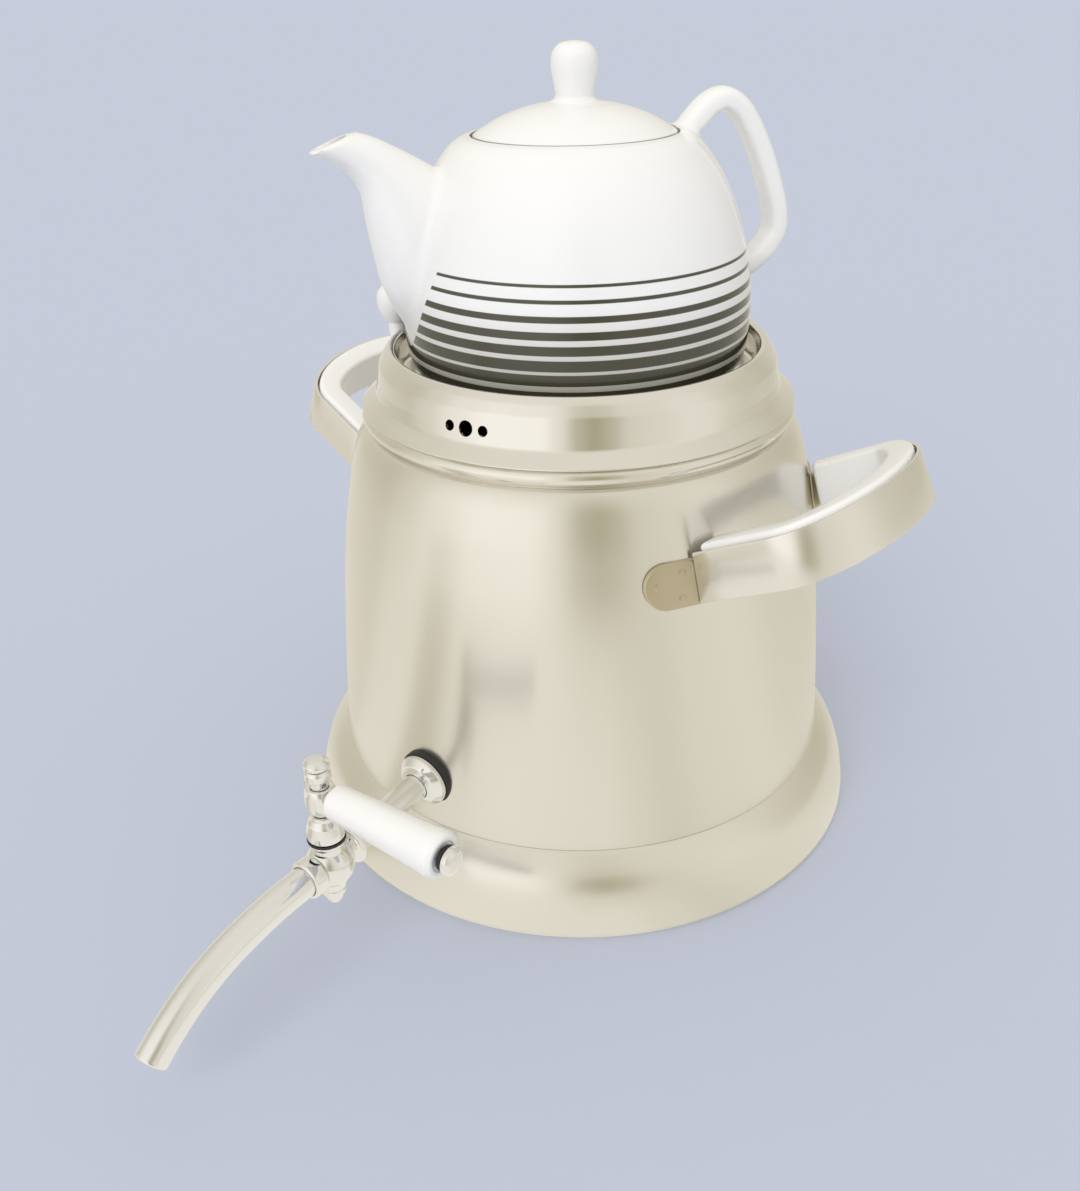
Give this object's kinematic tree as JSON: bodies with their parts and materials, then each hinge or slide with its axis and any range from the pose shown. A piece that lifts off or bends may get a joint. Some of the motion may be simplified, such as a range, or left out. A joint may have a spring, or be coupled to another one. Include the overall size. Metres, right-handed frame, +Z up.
{
  "type": "tap kettle with teapot",
  "caption": "Stovetop steel kettle with a lever tap and curved spout, side handles, and a stand ring that carries a striped porcelain teapot with its lid.",
  "frame": {"origin": "centre of the heat disc, on the surface that the kettle stands on", "axes": "+Z up; the tap and its spout point along -Y; the side handles lie along +X and -X"},
  "size_m": [0.2901, 0.3688, 0.3109],
  "materials": {
    "satin_steel": "satin, with fine vertical drawing marks",
    "bright_steel": "polished",
    "tap_chrome": "mirror",
    "grip_plastic": "glossy, moulded",
    "porcelain": "glazed, with olive-grey bands",
    "seal_rubber": "matt"
  },
  "bodies": {
    "kettle": {"kettle_body": "satin_steel", "base_pan": "satin_steel", "heat_disc": "satin_steel", "handle_strap_right": "bright_steel", "handle_strap_left": "bright_steel", "handle_grip_right": "grip_plastic", "handle_grip_left": "grip_plastic", "handle_bracket_right_front": "bright_steel", "handle_bracket_right_rear": "bright_steel", "handle_bracket_left_front": "bright_steel", "handle_bracket_left_rear": "bright_steel", "grip_screw_right_front": "bright_steel", "grip_screw_right_rear": "bright_steel", "grip_screw_left_front": "bright_steel", "grip_screw_left_rear": "bright_steel", "tap_outer_gasket": "seal_rubber", "tap_flange": "tap_chrome", "tap_inner_gasket": "seal_rubber", "tap_nut": "bright_steel", "tap_body": "tap_chrome", "valve_seal": "seal_rubber", "valve_bonnet": "tap_chrome", "spout_collar": "tap_chrome", "spout_tube": "tap_chrome"},
    "tap_lever": {"valve_plug": "bright_steel", "plug_ring": "tap_chrome", "plug_cap": "tap_chrome", "lever_hub": "tap_chrome", "lever_grip": "grip_plastic", "lever_washer": "seal_rubber", "lever_end_nut": "tap_chrome", "stem_collar": "tap_chrome", "stem_finial": "tap_chrome"},
    "stand": {"stand_ring": "bright_steel", "stand_knob": "grip_plastic", "stand_knob_screw": "bright_steel", "seat_plate": "bright_steel"},
    "teapot": {"teapot_body": "porcelain"},
    "lid": {"teapot_lid": "porcelain"}
  },
  "joints": [
    {"name": "lever_turn", "type": "hinge", "parent": "kettle", "child": "tap_lever", "pos_m": [0, -0.1594, 0.0482], "axis": [0, 0, 1], "range_deg": [-90, 0]},
    {"name": "stand_lift", "type": "slide", "parent": "kettle", "child": "stand", "axis": [0, 0, 1], "range_m": [0, 0.06]},
    {"name": "teapot_lift", "type": "slide", "parent": "stand", "child": "teapot", "axis": [0, 0, 1], "range_m": [0, 0.06]},
    {"name": "lid_lift", "type": "slide", "parent": "teapot", "child": "lid", "axis": [0, 0, 1], "range_m": [0, 0.04]}
  ]
}
